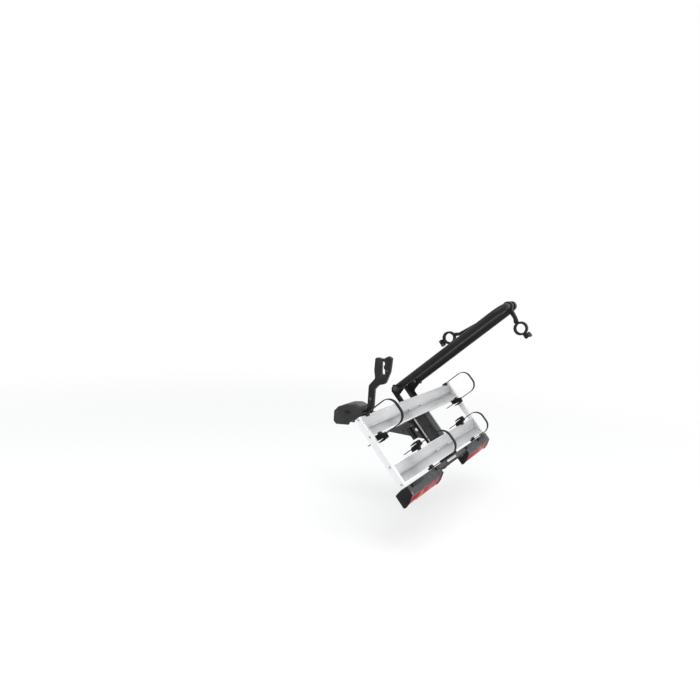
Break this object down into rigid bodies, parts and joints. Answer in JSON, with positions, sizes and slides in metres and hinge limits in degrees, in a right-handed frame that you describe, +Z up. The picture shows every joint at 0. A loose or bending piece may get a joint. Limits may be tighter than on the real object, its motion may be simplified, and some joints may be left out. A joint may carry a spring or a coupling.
{
  "type": "hitch bike rack",
  "caption": "Tow-ball bicycle carrier with a tilting platform of aluminium wheel trays, folding hoop with frame holders, wheel straps and a light board.",
  "frame": {"origin": "centre of the tow-ball socket in the coupling", "axes": "+Z up, +Y towards the vehicle's front, +X towards the vehicle's right; the tilt hinge and the wheel trays run along X"},
  "size_m": [1.211, 0.9992, 0.8861],
  "materials": {
    "dark_steel": "matte",
    "black_steel": "satin",
    "cast_metal": "matte",
    "zinc_steel": "satin",
    "aluminium": "satin",
    "black_plastic": "matte",
    "grey_plastic": "matte",
    "light_grey_plastic": "matte",
    "red_lens": "gloss",
    "clear_lens": "gloss",
    "strap_plastic": "satin"
  },
  "bodies": {
    "mount": {"base_arm": "dark_steel", "ball_socket": "cast_metal", "coupling_bolts": "zinc_steel", "jaw_pin": "zinc_steel", "lever_pin": "zinc_steel", "coupling_hood": "grey_plastic", "hood_trim": "light_grey_plastic", "hinge_sleeve": "zinc_steel", "hinge_bolt": "zinc_steel", "stop_pin": "zinc_steel", "latch_stud": "zinc_steel"},
    "platform": {"hinge_ears": "black_steel", "chassis_pan": "black_steel", "wheel_tray_inner": "aluminium", "wheel_tray_outer": "aluminium", "side_rail_left": "aluminium", "side_rail_right": "aluminium", "rail_plugs": "black_plastic", "rail_screws": "zinc_steel", "tray_bolts": "zinc_steel", "light_bar": "grey_plastic", "lamp_housing_left": "grey_plastic", "lamp_housing_right": "grey_plastic", "lamp_lens_left": "red_lens", "lamp_lens_right": "red_lens", "lamp_clear": "clear_lens", "plate_holder": "grey_plastic", "latch_bracket": "black_steel", "hoop_bolts": "zinc_steel"},
    "jaw": {"clamp_jaw": "cast_metal"},
    "rod": {"thrust_rod": "zinc_steel"},
    "lever": {"coupling_lever": "black_steel", "catch_pin": "zinc_steel"},
    "catch": {"safety_catch": "black_plastic"},
    "lock": {"lever_lock": "zinc_steel"},
    "latch": {"foot_latch": "black_steel"},
    "hoop": {"hoop_tube": "black_steel", "hoop_plugs": "black_plastic"},
    "knob_left": {"hoop_knob_left": "black_plastic"},
    "knob_right": {"hoop_knob_right": "black_plastic"},
    "short_holder": {"holder_short": "black_plastic"},
    "short_claw": {"claw_short": "black_plastic"},
    "short_claw_knob": {"claw_knob_short": "grey_plastic"},
    "long_holder": {"holder_long": "black_plastic"},
    "long_claw": {"claw_long": "black_plastic"},
    "long_claw_knob": {"claw_knob_long": "grey_plastic"},
    "strap_outer_near": {"strap_band_outer_near": "strap_plastic", "strap_buckle_outer_near": "black_plastic"},
    "ratchet_outer_near": {"strap_ratchet_outer_near": "black_plastic"},
    "strap_outer_far": {"strap_band_outer_far": "strap_plastic", "strap_buckle_outer_far": "black_plastic"},
    "ratchet_outer_far": {"strap_ratchet_outer_far": "black_plastic"},
    "strap_inner_near": {"strap_band_inner_near": "strap_plastic", "strap_buckle_inner_near": "black_plastic"},
    "ratchet_inner_near": {"strap_ratchet_inner_near": "black_plastic"},
    "strap_inner_far": {"strap_band_inner_far": "strap_plastic", "strap_buckle_inner_far": "black_plastic"},
    "ratchet_inner_far": {"strap_ratchet_inner_far": "black_plastic"}
  },
  "joints": [
    {"name": "platform_tilt", "type": "hinge", "parent": "mount", "child": "platform", "pos_m": [0, -0.42, 0], "axis": [1, 0, 0], "range_deg": [-48, 0]},
    {"name": "lever_turn", "type": "hinge", "parent": "mount", "child": "lever", "pos_m": [0, -0.125, 0.024], "axis": [1, 0, 0], "range_deg": [0, 35]},
    {"name": "jaw_swing", "type": "hinge", "parent": "mount", "child": "jaw", "pos_m": [0, -0.046, 0.042], "axis": [1, 0, 0], "range_deg": [-6, 0]},
    {"name": "rod_slide", "type": "slide", "parent": "mount", "child": "rod", "axis": [0, 1, 0], "range_m": [-0.0022, 0]},
    {"name": "catch_press", "type": "hinge", "parent": "lever", "child": "catch", "pos_m": [0, -0.217, 0.27], "axis": [1, 0, 0], "range_deg": [0, 6], "stiffness_Nm_per_rad": 0.2},
    {"name": "lock_turn", "type": "hinge", "parent": "lever", "child": "lock", "pos_m": [0, -0.134, 0.11], "axis": [1, 0, 0], "range_deg": [0, 90]},
    {"name": "latch_press", "type": "hinge", "parent": "platform", "child": "latch", "pos_m": [0, -0.39814, 0.04221], "axis": [1, 0, 0], "range_deg": [-16, 0]},
    {"name": "hoop_fold", "type": "hinge", "parent": "platform", "child": "hoop", "pos_m": [0, -0.33209, 0.2142], "axis": [1, 0, 0], "range_deg": [0, 90]},
    {"name": "left_knob_turn", "type": "hinge", "parent": "platform", "child": "knob_left", "pos_m": [0, -0.33209, 0.2142], "axis": [1, 0, 0], "continuous": true},
    {"name": "right_knob_turn", "type": "hinge", "parent": "platform", "child": "knob_right", "pos_m": [0, -0.33209, 0.2142], "axis": [1, 0, 0], "continuous": true},
    {"name": "short_holder_swivel", "type": "hinge", "parent": "hoop", "child": "short_holder", "pos_m": [0, -0.81885, 0.65248], "axis": [1, 0, 0], "range_deg": [-30, 60]},
    {"name": "long_holder_swivel", "type": "hinge", "parent": "hoop", "child": "long_holder", "pos_m": [0, -0.81885, 0.65248], "axis": [1, 0, 0], "range_deg": [-98, 0]},
    {"name": "short_claw_open", "type": "hinge", "parent": "short_holder", "child": "short_claw", "pos_m": [0, -0.86362, 0.58782], "axis": [1, 0, 0], "range_deg": [-60, 0]},
    {"name": "short_claw_knob_turn", "type": "hinge", "parent": "short_claw", "child": "short_claw_knob", "pos_m": [-0.03, -0.91819, 0.52124], "axis": [0, -0.7431, 0.6691], "continuous": true},
    {"name": "long_claw_open", "type": "hinge", "parent": "long_holder", "child": "long_claw", "pos_m": [0, -0.56041, 0.49022], "axis": [1, 0, 0], "range_deg": [-60, 0]},
    {"name": "long_claw_knob_turn", "type": "hinge", "parent": "long_claw", "child": "long_claw_knob", "pos_m": [0.03, -0.48687, 0.44544], "axis": [0, -0.5592, -0.829], "continuous": true},
    {"name": "strap_outer_near_slide", "type": "slide", "parent": "platform", "child": "strap_outer_near", "axis": [1, 0, 0], "range_m": [-0.25, 0.11]},
    {"name": "ratchet_outer_near_lift", "type": "hinge", "parent": "strap_outer_near", "child": "ratchet_outer_near", "pos_m": [-0.28, -0.51499, 0.0021], "axis": [1, 0, 0], "range_deg": [0, 70]},
    {"name": "strap_outer_far_slide", "type": "slide", "parent": "platform", "child": "strap_outer_far", "axis": [1, 0, 0], "range_m": [-0.21, 0.15]},
    {"name": "ratchet_outer_far_lift", "type": "hinge", "parent": "strap_outer_far", "child": "ratchet_outer_far", "pos_m": [0.38, -0.51499, 0.0021], "axis": [1, 0, 0], "range_deg": [0, 70]},
    {"name": "strap_inner_near_slide", "type": "slide", "parent": "platform", "child": "strap_inner_near", "axis": [1, 0, 0], "range_m": [-0.03, 0.36]},
    {"name": "ratchet_inner_near_lift", "type": "hinge", "parent": "strap_inner_near", "child": "ratchet_inner_near", "pos_m": [-0.53, -0.46012, 0.06304], "axis": [1, 0, 0], "range_deg": [-70, 0]},
    {"name": "strap_inner_far_slide", "type": "slide", "parent": "platform", "child": "strap_inner_far", "axis": [1, 0, 0], "range_m": [-0.36, 0.03]},
    {"name": "ratchet_inner_far_lift", "type": "hinge", "parent": "strap_inner_far", "child": "ratchet_inner_far", "pos_m": [0.53, -0.46012, 0.06304], "axis": [1, 0, 0], "range_deg": [-70, 0]}
  ],
  "couplings": [
    {"joint": "jaw_swing", "follows": "lever_turn", "ratio": -0.17143},
    {"joint": "rod_slide", "follows": "lever_turn", "m_per_rad": -0.0036}
  ]
}
